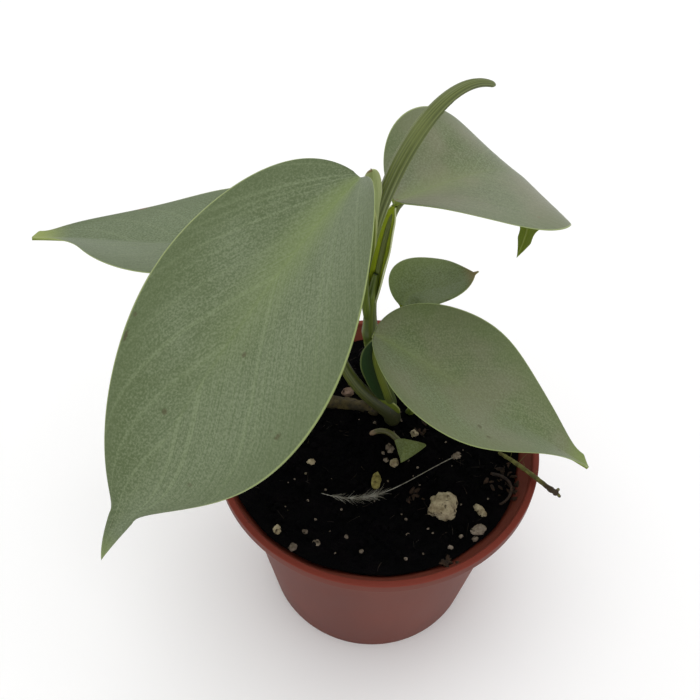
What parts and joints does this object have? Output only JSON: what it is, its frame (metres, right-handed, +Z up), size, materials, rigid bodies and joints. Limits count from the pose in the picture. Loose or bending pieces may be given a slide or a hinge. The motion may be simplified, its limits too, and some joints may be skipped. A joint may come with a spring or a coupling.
{
  "type": "potted philodendron",
  "caption": "Young silver-green philodendron with pointed oval leaves and a rolled new leaf, growing in soil in a small tapered terracotta-coloured plastic nursery pot.",
  "frame": {"origin": "centre of the pot's flat base, on the surface that the pot stands on", "axes": "+Z up along the pot's axis, -Y towards the front, +X to the right seen from the front"},
  "size_m": [0.1585, 0.1108, 0.1925],
  "materials": {
    "pot": "smooth injection-moulded plastic in a dull red-brown terracotta colour",
    "soil": "moist, crumbly, nearly black peat mix",
    "leaf": "silvery grey-green with a soft waxy sheen above, brighter olive green below",
    "stem": "smooth yellow-green plant tissue",
    "root": "dry, slightly rough tan fibre",
    "perlite": "chalky cream grains"
  },
  "bodies": {
    "root": {"nursery_pot": "pot", "potting_soil": "soil", "main_stem": "stem", "rolled_new_leaf": "stem", "basal_shoot": "stem", "curled_bract": "stem", "old_stem_cutting": "root", "front_leaf": "leaf", "left_back_leaf": "leaf", "upper_right_leaf": "leaf", "small_leaf": "leaf", "lower_right_leaf": "leaf", "overhanging_root": "root", "rim_root": "root", "surface_fibre": "root", "buried_root_1": "root", "buried_root_2": "root", "buried_root_3": "root", "buried_root_4": "root", "bark_chip": "root", "perlite_large": "perlite", "slow_release_pellet": "perlite", "perlite_1": "perlite", "perlite_2": "perlite", "perlite_3": "perlite", "perlite_4": "perlite", "perlite_5": "perlite", "perlite_6": "perlite", "perlite_7": "perlite", "perlite_8": "perlite", "perlite_9": "perlite"}
  },
  "joints": []
}
